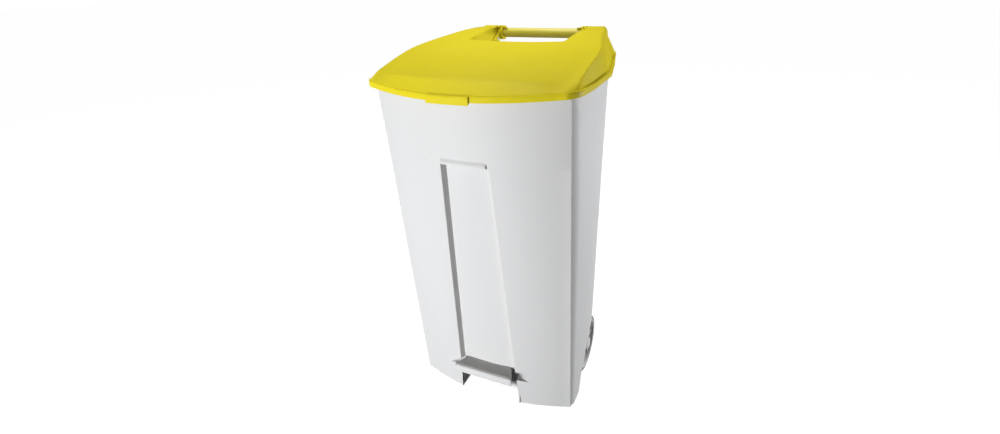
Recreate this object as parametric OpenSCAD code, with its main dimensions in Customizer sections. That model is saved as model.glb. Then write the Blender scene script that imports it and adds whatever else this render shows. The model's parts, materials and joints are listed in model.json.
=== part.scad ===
// Wheeled pedal bin with a hinged lid, about 120 litres.
// Millimetres, +Z up, the front faces -Y, the origin is on the floor at the middle of the footprint.

/* [Body] */
// Width of the body at the rim
body_top_w = 455; // [445:1:460]
// Width of the body at the floor
body_foot_w = 437; // [430:1:445]
// Height of the rim
rim_z = 830; // [826:1:832]
// Height of the underside of the tub
tub_z = 172; // [168:1:180]
// Wall thickness of the body
wall = 4; // [3:0.5:5]
// Place of the front corners at the rim
front_top_y = -179; // [-182:1:-175]
// Place of the front corners at the floor
front_foot_y = -113; // [-118:1:-110]
// How far the front bows out between its corners at the rim
bow_top = 57; // [50:1:60]
// How far the front bows out between its corners at the floor
bow_foot = 45; // [40:1:50]
// Place of the back wall at the rim
back_top_y = 214; // [210:1:215]
// Place of the back wall carried down to the floor
back_foot_y = 179; // [175:1:185]

/* [Channel] */
// Half width of the front channel at its top
channel_top_w = 56; // [50:1:60]
// Half width of the front channel at the floor
channel_foot_w = 83; // [80:1:86]
// Height of the top of the channel
channel_z = 680; // [660:1:700]
// Depth of the channel
channel_depth = 22; // [20:1:24]
// How far each side wall of the channel slopes inwards over its depth
channel_run = 9; // [8:1:12]

/* [Lid] */
// Overall width of the lid
lid_w = 472; // [468:1:476]
// Overall depth of the bin, from the lid's front lip to the hinge collars
overall_d = 540; // [538:1:542]
// Height of the lower edge of the lid
lid_foot_z = 820; // [816:1:822]
// Thickness of the lid's wall
lid_t = 3; // [2.5:0.5:3.5]
// Largest angle that the lid opens to
lid_open = 75; // [60:1:75]

/* [Handle] */
// Diameter of the handle tube
tube_d = 24; // [22:1:25]
// Height of the handle tube's axis
tube_z = 887; // [885:1:888]
// Outer diameter of the hinge collars
collar_d = 36; // [34:1:36]

/* [Wheels] */
// Diameter of the wheels
wheel_d = 160; // [150:1:160]
// Width of the wheels
wheel_w = 34; // [30:1:36]
// Place of the axle along the bin
axle_y = 55; // [50:1:60]
// Diameter of the axle
axle_d = 12; // [10:1:14]

/* [Pedal] */
// Height of the top of the pedal
pedal_z = 112; // [108:1:116]
// Thickness of the pedal's front
pedal_t = 22; // [18:1:24]
// Diameter of the lifting rod
rod_d = 8; // [7:1:8]

/* [Hidden] */

round_fn = 64;
small_fn = 32;
reach = 400;            // longer than any wall that a cutter has to pass through
fit_gap = 0.06;         // radial clearance of a running fit

white = [0.90, 0.90, 0.91];
yellow = [0.86, 0.80, 0.13];
grey = [0.52, 0.53, 0.54];
steel = [0.66, 0.67, 0.69];
black = [0.10, 0.10, 0.11];

front_r = 24;           // run of the rounded front corners
back_r = 50;            // run of the rounded back corners
side_end_y = 45;        // where the sides start to close in towards the back
back_w = 380;           // width between the back corners at the rim

tube_y = overall_d / 2 - collar_d / 2;
tube_r = tube_d / 2;
tube_half = 162;
tube_wall = 1.5;
axle_z = wheel_d / 2;
axle_r = axle_d / 2;

notch_y = 63;           // front edge of the notch for the hands
notch_front_w = 114;
notch_back_w = 122;
notch_side_y = 200;     // behind this the notch's sides run straight back
notch_wall_z = rim_z + 8;
recess_w = 112;         // half width of the hand recess in the back of the body
recess_z = 775;
recess_foot_z = 690;

leg_back_y = -58;       // back wall of the two front legs
toe_w = 115;            // half width of the toe pocket at its tip
toe_z = 80;
toe_y = -138;
skirt_foot_y = -52;
skirt_knee = [-40, 55];
skirt_top_y = 48;

block_x = 146;          // inner face of the axle blocks
block_t = 12;
bracket_x = 151;        // inner face of the handle brackets
bracket_t = 9;
boss_r = 14.5;

rod_r = rod_d / 2;
lift_arm = 30;          // distance of the lifting rods in front of the hinge
lift_x = 133;
lift_rate = 1.12 * lift_arm;
lift_stroke = lift_rate * lid_open * PI / 180;
lift_y = tube_y - lift_arm;
lift_top_z = tube_z - lift_stroke / 2;
lid_back_w = 198;
ear_x = 168;            // inner face of the lid's ears
buffer_h = 15;
lug_x = 141;
lug_t = 5;
lug_angle = lid_open / 2;
lug_slot = [lift_arm - 1, lift_arm + 8.5];
lug_slot_r = rod_r + 1.1;
lug_r = 12;

arm_x = 51;             // inner face of the pedal arms
arm_t = 5;
arm_w = 20;
arm_front = [-158, 95];
lift_foot_z = axle_z - lift_stroke / 2;
fork_gap = rod_r + 0.6;
tread_back_y = -150;
tread_front_y = -193;
tread_back_w = 64;
tread_front_w = 82;
pad_t = 2;

wheel_x = 174;          // inner face of the wheels
tyre_t = 10;
hub_r = 20;
hub_over = 3;
guide_h = 24;
guide_w = 20;
guide_z = [250, 715];
screw_r = 2.5;
screw_head_r = 4.5;
screw_head_t = 2.5;

function mix(a, b, t) = a + (b - a) * t;
function clamp01(t) = max(0, min(1, t));
function ease(t) = let (s = clamp01(t)) s * s * (3 - 2 * s);

// Point on the curve that leaves a towards b and reaches c from b
function bend(a, b, c, t) = a * pow(1 - t, 2) + b * 2 * t * (1 - t) + c * t * t;

// Right half of a plan outline, from the middle of the front to the middle of the back.
// w and bw are half widths at the front and at the back, yf is at the front corners.
function half_plan(w, yf, bow, ys, bw, yb, fr, br) =
    let (
        fx = w - fr,
        fy = yf - bow * (1 - pow(fx / w, 2)),
        lean = (w - bw) / (yb - ys),
        turn = [bw + lean * br, yb - br]
    )
    [
        for (i = [0:6]) let (x = fx * i / 6) [x, yf - bow * (1 - pow(x / w, 2))],
        for (t = [0.25:0.25:1]) bend([fx, fy], [w, yf], [w, yf + fr], t),
        for (t = [0.25:0.25:1]) [w, mix(yf + fr, ys, t)],
        for (t = [0.34:0.33:1]) [mix(w, turn[0], t), mix(ys, turn[1], t)],
        for (t = [0.2:0.2:1]) bend(turn, [bw, yb], [bw - br, yb], t),
        [0, yb]
    ];

// Whole outline from its right half
function whole(half) = let (n = len(half)) concat(
    half, [for (i = [n - 2:-1:1]) [-half[i][0], half[i][1]]]);

function at_height(outline, z) = [for (p = outline) [p[0], p[1], z]];

// Plan outline of the body at height z, moved inwards by d
function body_ring(z, d = 0) =
    let (t = z / rim_z)
    at_height(whole(half_plan(
        mix(body_foot_w, body_top_w, t) / 2 - d,
        mix(front_foot_y, front_top_y, t) + d * 0.6,
        mix(bow_foot, bow_top, t) - d * 0.4 * sign(d),
        side_end_y,
        back_w / 2 - d + (t - 1) * (body_top_w - body_foot_w) / 2,
        mix(back_foot_y, back_top_y, t) - d,
        front_r, back_r)), z);

function body_front_y(x, z) =
    let (t = z / rim_z, w = mix(body_foot_w, body_top_w, t) / 2)
    mix(front_foot_y, front_top_y, t) - mix(bow_foot, bow_top, t) * (1 - pow(x / w, 2));
function body_back_y(z) = mix(back_foot_y, back_top_y, z / rim_z);

// Solid through a stack of rings; the last one closes on a point when tip is given
module loft(rings, tip = undef) {
    n = len(rings[0]);
    last = (len(rings) - 1) * n;
    points = [for (ring = rings) each ring];
    sides = [
        for (k = [0:len(rings) - 2], i = [0:n - 1])
            let (a = k * n + i, b = k * n + (i + 1) % n)
            each [[a, a + n, b + n], [a, b + n, b]]
    ];
    foot = [[for (i = [0:n - 1]) i]];
    flat_top = [[for (i = [n - 1:-1:0]) last + i]];
    closed_top = [for (i = [0:n - 1]) [last + i, len(points), last + (i + 1) % n]];
    polyhedron(
        points = is_undef(tip) ? points : concat(points, [tip]),
        faces = concat(foot, sides, is_undef(tip) ? flat_top : closed_top));
}

// A flat shape drawn in the YZ plane, as thick as from x0 to x1
module slab(x0, x1) {
    translate([x0, 0, 0]) rotate([90, 0, 90]) linear_extrude(x1 - x0) children();
}

// Round bar along X
module bar_x(x0, x1, y, z, r) {
    translate([x0, y, z]) rotate([0, 90, 0]) cylinder(h = x1 - x0, r = r, $fn = round_fn);
}

// Straight band between two points of a plane
module band(a, b, width) {
    run = b - a;
    translate(a) rotate(atan2(run[1], run[0])) translate([0, -width / 2])
        square([norm(run), width]);
}

// Band with round ends
module strip(a, b, width) {
    band(a, b, width);
    for (end = [a, b]) translate(end) circle(d = width, $fn = small_fn);
}

module on_side(side) {
    if (side > 0) children();
    else mirror([1, 0, 0]) children();
}

// ---- Body ----

// The long shallow channel that runs down the front to the pedal
module channel_cut(grow = 0) {
    function ring(z) =
        let (
            w = mix(channel_foot_w, channel_top_w, z / channel_z) + grow,
            y = body_front_y(w, z),
            floor_w = w - channel_run,
            d = channel_depth + grow)
        [[-w, -reach, z], [w, -reach, z], [w, y, z], [floor_w, y + d, z], [-floor_w, y + d, z], [-w, y, z]];
    loft([ring(pedal_z + 1 - grow), ring(channel_z + grow)]);
}

// Pocket beside the pedal that gives room for the toe of a shoe
module toe_pocket(grow = 0) {
    tip = [toe_w + grow * 2.4, toe_z - grow];
    translate([0, toe_y + grow, 0]) rotate([90, 0, 0]) linear_extrude(reach)
        polygon([
            [-tip[0], tip[1]], [tip[0], tip[1]],
            [channel_foot_w - 4, pedal_z + 1 + grow], [4 - channel_foot_w, pedal_z + 1 + grow]]);
}

// Recess in the top of the back wall, behind the handle
module hand_recess(grow = 0) {
    slab(-recess_w - grow, recess_w + grow) polygon([
        [notch_y - grow, rim_z + 60], [notch_y - grow, recess_z],
        [reach, recess_foot_z - (reach - back_top_y) * 0.6 - grow], [reach, rim_z + 60]]);
}

// Everything behind the slanted edge of the side skirts
module wheel_space() {
    slab(-reach, reach) polygon([
        [skirt_foot_y, -1], skirt_knee, [skirt_top_y, tub_z], [reach, tub_z], [reach, -1]]);
}

module leg_inside(side) {
    on_side(side) translate([channel_foot_w, leg_back_y, 0]) mirror([0, 1, 0])
        difference() {
            cube([reach / 2, reach / 2, tub_z]);
            translate([wall, wall, -1]) cube([reach, reach, tub_z + 2]);
        }
}

module body_solid() {
    loft([body_ring(0), body_ring(rim_z)]);
}

module body_shell() {
    color(white) difference() {
        union() {
            difference() {
                body_solid();
                loft([body_ring(tub_z + wall, wall), body_ring(rim_z + 1, wall)]);
                loft([body_ring(-1, wall), body_ring(tub_z, wall)]);
            }
            intersection() {
                body_solid();
                union() {
                    channel_cut(wall);
                    hand_recess(wall);
                    for (side = [-1, 1]) leg_inside(side);
                    difference() {
                        toe_pocket(wall);
                        translate([-channel_foot_w, -reach, -1])
                            cube([2 * channel_foot_w, 2 * reach, reach]);
                    }
                }
            }
        }
        channel_cut();
        toe_pocket();
        hand_recess();
        wheel_space();
        translate([-channel_foot_w, -reach, -1])
            cube([2 * channel_foot_w, reach + leg_back_y - wall, pedal_z + 2]);
    }
}

// ---- Axle ----

module axle_block(side) {
    foot_y = 30;
    color(grey) on_side(side) difference() {
        union() {
            slab(block_x, block_x + block_t) polygon([
                [axle_y - foot_y, tub_z], [axle_y - 14, axle_z - 12], [axle_y + 14, axle_z - 12],
                [axle_y + foot_y, tub_z]]);
            bar_x(block_x, block_x + block_t, axle_y, axle_z, 15);
            translate([block_x - 16, axle_y - foot_y, tub_z - 5]) cube([16, 2 * foot_y, 5]);
        }
        bar_x(block_x - 1, block_x + block_t + 1, axle_y, axle_z, axle_r + fit_gap);
    }
}

module axle_block_screws() {
    color(steel) for (side = [-1, 1], dy = [-18, 18])
        on_side(side) translate([block_x - 8, axle_y + dy, tub_z - 5 - screw_head_t])
            cylinder(h = screw_head_t, r = screw_head_r, $fn = small_fn);
}

module wheel_axle() {
    color(steel) bar_x(-wheel_x - wheel_w - hub_over, wheel_x + wheel_w + hub_over, axle_y, axle_z, axle_r);
}

module axle_washers() {
    color(steel) for (side = [-1, 1]) on_side(side) difference() {
        bar_x(wheel_x - hub_over - 2.5, wheel_x - hub_over - 0.5, axle_y, axle_z, 12);
        bar_x(wheel_x - reach / 4, wheel_x, axle_y, axle_z, axle_r + fit_gap);
    }
}

// ---- Handle ----

module handle_bracket(side) {
    plate_z = [752, rim_z - 4];
    color(white) on_side(side) difference() {
        union() {
            slab(bracket_x, bracket_x + bracket_t) polygon([
                [body_back_y(plate_z[0]), plate_z[0]], [tube_y + 3, tube_z - boss_r + 1],
                [tube_y + 2, tube_z], [tube_y - boss_r + 3, tube_z + 8],
                [body_back_y(plate_z[1]), plate_z[1]]]);
            bar_x(bracket_x, bracket_x + bracket_t, tube_y, tube_z, boss_r);
            slab(bracket_x - 10, bracket_x + bracket_t + 6) polygon([
                [body_back_y(plate_z[0]), plate_z[0]], [body_back_y(plate_z[0]) + 4, plate_z[0]],
                [body_back_y(plate_z[1]) + 4, plate_z[1]], [body_back_y(plate_z[1]), plate_z[1]]]);
        }
        bar_x(bracket_x - 1, bracket_x + bracket_t + 1, tube_y, tube_z, tube_r + fit_gap);
    }
}

module back_screw(x, z, t) {
    translate([x, body_back_y(z) + t, z]) rotate([-90, 0, 0])
        cylinder(h = screw_head_t, r = screw_head_r, $fn = small_fn);
}

module bracket_screws() {
    color(steel) for (side = [-1, 1], z = [764, 812])
        on_side(side) back_screw(bracket_x - 5, z, 4.4);
}

module handle_tube() {
    color(yellow) difference() {
        bar_x(-tube_half, tube_half, tube_y, tube_z, tube_r);
        bar_x(-tube_half - 1, tube_half + 1, tube_y, tube_z, tube_r - tube_wall);
    }
}

module tube_cap(side) {
    color(black) on_side(side) {
        bar_x(tube_half, tube_half + 3, tube_y, tube_z, tube_r);
        bar_x(tube_half - 12, tube_half, tube_y, tube_z, tube_r - tube_wall - 0.05);
    }
}

// ---- Lid ----

// Plan outline of the lid, moved inwards by d
function lid_plan(d) = whole(half_plan(
    lid_w / 2 - d, -overall_d / 2 + 71 + d * 0.6, 71 - d * 0.4, side_end_y,
    lid_back_w - d, tube_y - 2 - d, 26, 34));

// Height of the lid's ridge over its edge at y, and its height on the middle line
function lid_edge_z(y) = 897 - 51 * pow(clamp01((190 - y) / 368), 2.8);
function lid_mid_z(y) = 888 - 31 * pow(clamp01((-21 - y) / 208), 1.9);
function lid_in(y) = mix(4, 28, ease((y + 178) / 180));
function lid_front_in(y) = 41 * ease((-150 - y) / 60);

// Height of the lid's top at x, y: it rises towards the ears at both ends of the handle
function lid_top_z(x, y) =
    mix(lid_mid_z(y), lid_edge_z(y), pow(min(1, abs(x) / 205), 1.5))
    + 7 * ease((y - 60) / 170) * ease((abs(x) - 60) / 60);

// The edge where the lid's skirt and flanks meet its top
function ridge(p, d) =
    let (
        x = p[0] - sign(p[0]) * min(abs(p[0]), lid_in(p[1])),
        y = p[1] + lid_front_in(p[1]) - (p[1] > tube_y - 20 ? 6 : 0)
    )
    [x, y, lid_top_z(x, y) - d];

// A ring inside the ridge, drawn in towards the middle by the factor k
function crown(p, k, d) =
    let (x = p[0] * k, y = p[1] * k)
    [x, y, lid_top_z(x, y) - d];

module lid_solid(d = 0) {
    foot = d > 0 ? -1 : 0;
    outer = lid_plan(d > 0 ? d + 4 : 0);
    step = lid_plan(d + 4);
    edge = [for (p = lid_plan(d * 2)) ridge(p, d)];
    loft([
        at_height(outer, lid_foot_z + foot),
        at_height(outer, lid_foot_z + 11 - d),
        at_height(step, lid_foot_z + 12 - d),
        edge,
        [for (p = edge) crown(p, 0.75, d)],
        [for (p = edge) crown(p, 0.4, d)]
    ], [0, 0, lid_mid_z(0) - d]);
}

// Opening behind the lid's top for the hands, with round front corners
module notch_plan(grow = 0) {
    r = 12;
    difference() {
        polygon([
            [-notch_front_w - grow, notch_y - grow], [notch_front_w + grow, notch_y - grow],
            [notch_back_w + grow, notch_side_y], [notch_back_w + grow, reach],
            [-notch_back_w - grow, reach], [-notch_back_w - grow, notch_side_y]]);
        for (side = [-1, 1]) translate([side * (notch_front_w + grow), notch_y - grow])
            difference() {
                square(2 * r, center = true);
                translate([-side * r, r]) circle(r = r, $fn = small_fn);
                translate([-side * 2 * r, 0]) square(2 * r, center = true);
                translate([0, 2 * r]) square(2 * r, center = true);
            }
    }
}

module lug(side) {
    out = [-cos(lug_angle), -sin(lug_angle)];
    at = [tube_y, tube_z];
    on_side(side) difference() {
        slab(lug_x, lug_x + lug_t) {
            strip(at + out * lug_slot[1], [lift_y, tube_z + 6], 2 * lug_r);
            strip(at + out * lug_slot[0], [lift_y, tube_z + 6], 2 * lug_r);
        }
        slab(lug_x - 1, lug_x + lug_t + 1)
            strip(at + out * lug_slot[0], at + out * lug_slot[1], 2 * lug_slot_r);
    }
}

// Hood over each end of the handle tube
module hood(side) {
    hood_r = collar_d / 2;
    on_side(side) difference() {
        bar_x(notch_back_w, ear_x + lid_t, tube_y, tube_z, hood_r);
        bar_x(notch_back_w - 1, ear_x, tube_y, tube_z, hood_r - 2.5);
        translate([0, tube_y - reach, tube_z - reach]) cube([reach, 2 * reach, reach]);
        translate([0, tube_y - reach - 6, tube_z - 1]) cube([reach, reach, 6]);
    }
}

module lid_shell() {
    tab_w = 46;
    color(yellow) {
        difference() {
            union() {
                difference() {
                    lid_solid();
                    lid_solid(lid_t);
                }
                intersection() {
                    lid_solid();
                    translate([0, 0, notch_wall_z]) linear_extrude(reach) notch_plan(lid_t);
                }
            }
            linear_extrude(3 * reach) notch_plan();
            // the back of the lid stops above the rim, so that it clears the back wall as it turns
            slab(-reach, reach) polygon([
                [180, lid_foot_z - 9], [216, rim_z + 10], [reach, rim_z + 10], [reach, lid_foot_z - 9]]);
            for (side = [-1, 1]) on_side(side) {
                bar_x(notch_back_w - 20, ear_x, tube_y, tube_z, collar_d / 2 - 2.5);
                // room under each ear for the bracket and the lifting rod
                translate([notch_back_w + 2 * lid_t, lift_y - 18, 0])
                    cube([ear_x - notch_back_w - 2 * lid_t, reach, tube_z - 1]);
            }
        }
        for (side = [-1, 1]) {
            hood(side);
            lug(side);
        }
        // finger lip at the middle of the front edge
        intersection() {
            difference() {
                loft([at_height(lid_plan(0), lid_foot_z - 9), at_height(lid_plan(0), lid_foot_z)]);
                loft([at_height(lid_plan(5), lid_foot_z - 10), at_height(lid_plan(5), lid_foot_z + 1)]);
            }
            translate([-tab_w, -reach, 0]) cube([2 * tab_w, reach, 2 * rim_z]);
        }
    }
}

module hinge_collar(side) {
    inner_x = 108;
    outer_x = notch_back_w - 0.8;
    color(yellow) on_side(side) difference() {
        union() {
            bar_x(inner_x, outer_x, tube_y, tube_z, collar_d / 2);
            slab(outer_x - 5, outer_x) strip([tube_y - 10, tube_z - 4], [tube_y - 42, tube_z - 20], 16);
        }
        bar_x(inner_x - 1, outer_x + 1, tube_y, tube_z, tube_r + fit_gap);
    }
}

module collar_screws() {
    x = notch_back_w - 5.8;
    color(steel) for (side = [-1, 1], along = [26, 40])
        on_side(side) bar_x(x - 2, x, tube_y - along, tube_z - along / 2, 3.5);
}

module lid_buffer(side) {
    x = 120;
    color(black) translate([side * x, body_front_y(x, rim_z) + wall / 2, rim_z])
        cylinder(h = buffer_h, r = 7, $fn = small_fn);
}

// ---- Lifting rods ----

module lift_frame() {
    color(steel) {
        bar_x(-lift_x, lift_x, lift_y, lift_foot_z, rod_r);
        for (side = [-1, 1]) on_side(side) {
            translate([lift_x, lift_y, lift_foot_z])
                cylinder(h = lift_top_z - lift_foot_z, r = rod_r, $fn = round_fn);
            bar_x(lift_x, lug_x + lug_t + 3, lift_y, lift_top_z, rod_r);
            for (z = [lift_foot_z, lift_top_z])
                translate([lift_x, lift_y, z]) sphere(r = rod_r, $fn = round_fn);
        }
    }
}

module rod_guide(side, z) {
    color(grey) on_side(side) difference() {
        slab(lift_x - guide_w / 2, lift_x + guide_w / 2) polygon([
            [body_back_y(z), z], [lift_y + rod_r + 4, z],
            [lift_y + rod_r + 4, z + guide_h], [body_back_y(z + guide_h), z + guide_h]]);
        translate([lift_x, lift_y, z - 1])
            cylinder(h = guide_h + 2, r = rod_r + fit_gap, $fn = round_fn);
    }
}

module guide_screws() {
    back_y = lift_y + rod_r + 4;
    color(steel) for (side = [-1, 1], z = guide_z, dx = [-7, 7])
        on_side(side) translate([lift_x + dx, back_y, z + guide_h / 2]) rotate([-90, 0, 0])
            cylinder(h = 1.5, r = screw_r, $fn = small_fn);
}

// ---- Pedal ----

module tread_plan(d = 0) {
    polygon([
        [-tread_back_w + d, tread_back_y - d], [tread_back_w - d, tread_back_y - d],
        [tread_front_w - d, tread_front_y + d], [-tread_front_w + d, tread_front_y + d]]);
}

module pedal_tread() {
    slot = [arm_t + 0.4, 2 * wall, pedal_t - 5.5];
    color(white) difference() {
        translate([0, 0, pedal_z - pedal_t]) linear_extrude(pedal_t - pad_t) tread_plan();
        translate([0, 0, pedal_z - pedal_t - 1]) linear_extrude(pedal_t - 5) tread_plan(4);
        for (side = [-1, 1]) on_side(side)
            translate([arm_x - 0.2, tread_back_y - wall - 1, pedal_z - pedal_t - 1]) cube(slot + [0, 0, 0.5]);
    }
}

module pedal_pad() {
    color(grey) translate([0, 0, pedal_z - pad_t]) linear_extrude(pad_t) tread_plan(1);
}

module pedal_arm(side) {
    fork = [lift_y, lift_foot_z];
    color(steel) on_side(side) difference() {
        slab(arm_x, arm_x + arm_t) {
            band(arm_front, [axle_y, axle_z], arm_w);
            band([axle_y, axle_z], fork, arm_w);
            translate(arm_front) circle(r = 11, $fn = round_fn);
            translate([axle_y, axle_z]) circle(r = 18, $fn = round_fn);
            translate(fork) circle(r = 13, $fn = round_fn);
        }
        bar_x(arm_x - 1, arm_x + arm_t + 1, axle_y, axle_z, axle_r + 4);
        translate([arm_x - 1, lift_y - 6, lift_foot_z - fork_gap]) cube([arm_t + 2, reach, 2 * fork_gap]);
    }
}

module pedal_bush(side) {
    color(black) on_side(side) difference() {
        union() {
            bar_x(arm_x - 3, arm_x + arm_t + 3, axle_y, axle_z, axle_r + 4 - 0.02);
            bar_x(arm_x + arm_t, arm_x + arm_t + 3, axle_y, axle_z, axle_r + 8);
        }
        bar_x(arm_x - 4, arm_x + arm_t + 4, axle_y, axle_z, axle_r + fit_gap);
    }
}

module pedal_spacer() {
    color(grey) difference() {
        bar_x(-arm_x + 3, arm_x - 3, axle_y, axle_z, axle_r + 3);
        bar_x(-arm_x, arm_x, axle_y, axle_z, axle_r + fit_gap);
    }
}

module pedal_bolts() {
    color(steel) for (side = [-1, 1], y = [-166, -159]) on_side(side)
        bar_x(arm_x - 3, arm_x, y, arm_front[1], 3);
}

// ---- Wheels ----

module wheel_disc(side) {
    rim_r = wheel_d / 2 - tyre_t;
    color(white) on_side(side) difference() {
        union() {
            difference() {
                bar_x(wheel_x, wheel_x + wheel_w, axle_y, axle_z, rim_r);
                bar_x(wheel_x - 1, wheel_x + wheel_w / 2 - 3, axle_y, axle_z, rim_r - 6);
                bar_x(wheel_x + wheel_w / 2 + 3, wheel_x + wheel_w + 1, axle_y, axle_z, rim_r - 6);
            }
            bar_x(wheel_x - hub_over, wheel_x + wheel_w, axle_y, axle_z, hub_r);
            for (a = [0:60:300]) translate([0, axle_y, axle_z]) rotate([a, 0, 0])
                translate([wheel_x + 4, -2, hub_r - 4]) cube([wheel_w - 8, 4, rim_r - hub_r]);
        }
        bar_x(wheel_x - reach / 4, wheel_x + reach / 4, axle_y, axle_z, axle_r + fit_gap);
    }
}

module tyre(side) {
    crown_r = 4;
    half_w = wheel_w / 2;
    rim_r = wheel_d / 2 - tyre_t;
    color(black) on_side(side) translate([wheel_x + half_w, axle_y, axle_z]) rotate([0, 90, 0])
        rotate_extrude($fn = 96) difference() {
            translate([rim_r, -half_w]) square([tyre_t, wheel_w]);
            for (end = [-1, 1]) translate([wheel_d / 2, end * half_w]) difference() {
                square(2 * crown_r, center = true);
                translate([-crown_r, -end * crown_r]) circle(r = crown_r, $fn = small_fn);
                translate([-2 * crown_r, 0]) square(2 * crown_r, center = true);
                translate([0, -end * 2 * crown_r]) square(2 * crown_r, center = true);
            }
        }
}

module hub_cap(side) {
    outer = wheel_x + wheel_w;
    color(white) on_side(side) difference() {
        bar_x(outer, outer + 6, axle_y, axle_z, hub_r - 2);
        bar_x(outer - 1, outer + 4, axle_y, axle_z, axle_r + 2);
    }
}

body_shell();
axle_block(-1);  // axle_block_left
axle_block(1);  // axle_block_right
axle_block_screws();
wheel_axle();
axle_washers();
handle_bracket(-1);  // handle_bracket_left
handle_bracket(1);  // handle_bracket_right
bracket_screws();
handle_tube();
tube_cap(-1);  // tube_cap_left
tube_cap(1);  // tube_cap_right
rod_guide(-1, guide_z[1]);  // rod_guide_upper_left
rod_guide(1, guide_z[1]);  // rod_guide_upper_right
rod_guide(-1, guide_z[0]);  // rod_guide_lower_left
rod_guide(1, guide_z[0]);  // rod_guide_lower_right
guide_screws();
lid_shell();
hinge_collar(-1);  // hinge_collar_left
hinge_collar(1);  // hinge_collar_right
collar_screws();
lid_buffer(-1);  // lid_buffer_left
lid_buffer(1);  // lid_buffer_right
lift_frame();
pedal_tread();
pedal_pad();
pedal_arm(-1);  // pedal_arm_left
pedal_arm(1);  // pedal_arm_right
pedal_bush(-1);  // pedal_bush_left
pedal_bush(1);  // pedal_bush_right
pedal_spacer();
pedal_bolts();
wheel_disc(-1);  // wheel_disc_left
tyre(-1);  // tyre_left
hub_cap(-1);  // hub_cap_left
wheel_disc(1);  // wheel_disc_right
tyre(1);  // tyre_right
hub_cap(1);  // hub_cap_right
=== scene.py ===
"""A pedal bin on two wheels: white moulded body, yellow lid turning on the handle tube, grey pedal."""

import json
import math

import bmesh
import bpy
import numpy as np
from mathutils import Matrix, Vector


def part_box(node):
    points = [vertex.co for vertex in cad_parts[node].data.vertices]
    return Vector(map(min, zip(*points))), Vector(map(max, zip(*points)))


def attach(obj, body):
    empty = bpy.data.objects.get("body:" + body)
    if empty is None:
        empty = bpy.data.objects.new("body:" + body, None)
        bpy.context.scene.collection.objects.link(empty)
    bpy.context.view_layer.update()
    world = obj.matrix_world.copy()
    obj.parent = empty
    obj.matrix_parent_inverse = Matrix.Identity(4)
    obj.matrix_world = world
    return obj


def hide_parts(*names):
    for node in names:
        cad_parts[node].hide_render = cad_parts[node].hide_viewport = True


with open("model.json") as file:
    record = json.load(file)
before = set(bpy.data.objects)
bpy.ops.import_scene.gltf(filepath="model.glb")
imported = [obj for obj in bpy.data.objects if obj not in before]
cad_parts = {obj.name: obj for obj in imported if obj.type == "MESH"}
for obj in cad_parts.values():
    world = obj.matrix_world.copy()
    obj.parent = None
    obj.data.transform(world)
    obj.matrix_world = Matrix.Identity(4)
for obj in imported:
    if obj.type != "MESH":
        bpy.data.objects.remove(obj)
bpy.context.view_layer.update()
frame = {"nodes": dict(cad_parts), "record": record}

MM = 0.001


def box_mm(node):
    """Lowest and highest corner of a CAD node, in millimetres."""
    low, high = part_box(node)
    return np.array(low) / MM, np.array(high) / MM


# ---- Sizes, from the frame ----

body_low, body_high = box_mm("body_shell")
lid_low, lid_high = box_mm("lid_shell")
tube_low, tube_high = box_mm("handle_tube")
tyre_low, tyre_high = box_mm("tyre_right")
disc_low = box_mm("wheel_disc_right")[0]
cap_low, cap_high = box_mm("hub_cap_right")
tread_low, tread_high = box_mm("pedal_tread")
pad_low, pad_high = box_mm("pedal_pad")
lift_low, lift_high = box_mm("lift_frame")

# body: half widths, and how the walls lean and bow between the floor and the rim
RIM_Z = body_high[2]
TOP_HALF = body_high[0]
FOOT_HALF = TOP_HALF * 0.96
FRONT_BOW = 57
FOOT_BOW = 45
FRONT_LEAN = 66
BACK_LEAN = 35
BACK_TOP_Y = body_high[1]
BACK_FOOT_Y = BACK_TOP_Y - BACK_LEAN
FRONT_TOP_Y = body_low[1] + FRONT_BOW
FRONT_FOOT_Y = FRONT_TOP_Y + FRONT_LEAN
SIDE_END_Y = 45
BACK_HALF = 190
BACK_R = 50
FACET_X = (5, 11)
FACET_Y = (9, 18)
CORNER_LIFT = 5
WALL = 4

# floor of the tub, and the rows where the slanted lower part of the wall ends
TUB_Z = 172
TUB_MIDDLE = (0, 15)
ROLL_R = 7
LOW_TOP = TUB_Z + 6

# channel down the front, the seam and lip at its top, and the gap between the legs
CHANNEL_Z = 680
CHANNEL_TOP = 56
CHANNEL_FOOT = 83
CHANNEL_DEPTH = 16
CHANNEL_RUN = 6.5
LIP = 5
SEAM_STEP = 1.6
LEG_GAP_Z = 107
LEG_BACK_Y = -60

# toe pockets beside the pedal
TOE_TIP_X = 111
TOE_Z = (82, 104)
TOE_DEPTH = 20
TOE_LAP = 6

# hand recess in the back, under the handle tube
RECESS_HALF = 112
RECESS_Y = 63
RECESS_Z = (690, 775)

TUBE_Y = (tube_low[1] + tube_high[1]) / 2
TUBE_Z = (tube_low[2] + tube_high[2]) / 2
AXLE_Y = (tyre_low[1] + tyre_high[1]) / 2
AXLE_Z = (tyre_low[2] + tyre_high[2]) / 2
WHEEL_R = (tyre_high[2] - tyre_low[2]) / 2

# lid: its outline, the tab at its front and the notch for the hands
LID_HALF = lid_high[0]
LID_T = 3
LID_BOW = 71
LID_FRONT_Y = lid_low[1] + LID_BOW
LID_FRONT_R = 26
LID_BACK_HALF = 198
LID_BACK_Y = TUBE_Y - 2
LID_BACK_R = 34
LID_FOOT_Z = 823
TAB_HALF = 46
TAB_DROP = 4
TAB_STEP = 3.4
NOTCH_HALF = 118
NOTCH_BACK_HALF = 122
NOTCH_R = 6
NOTCH_FOOT_Z = 838
NOTCH_EDGE_DROP = 3.4
EAR_RISE = 7.5

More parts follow.
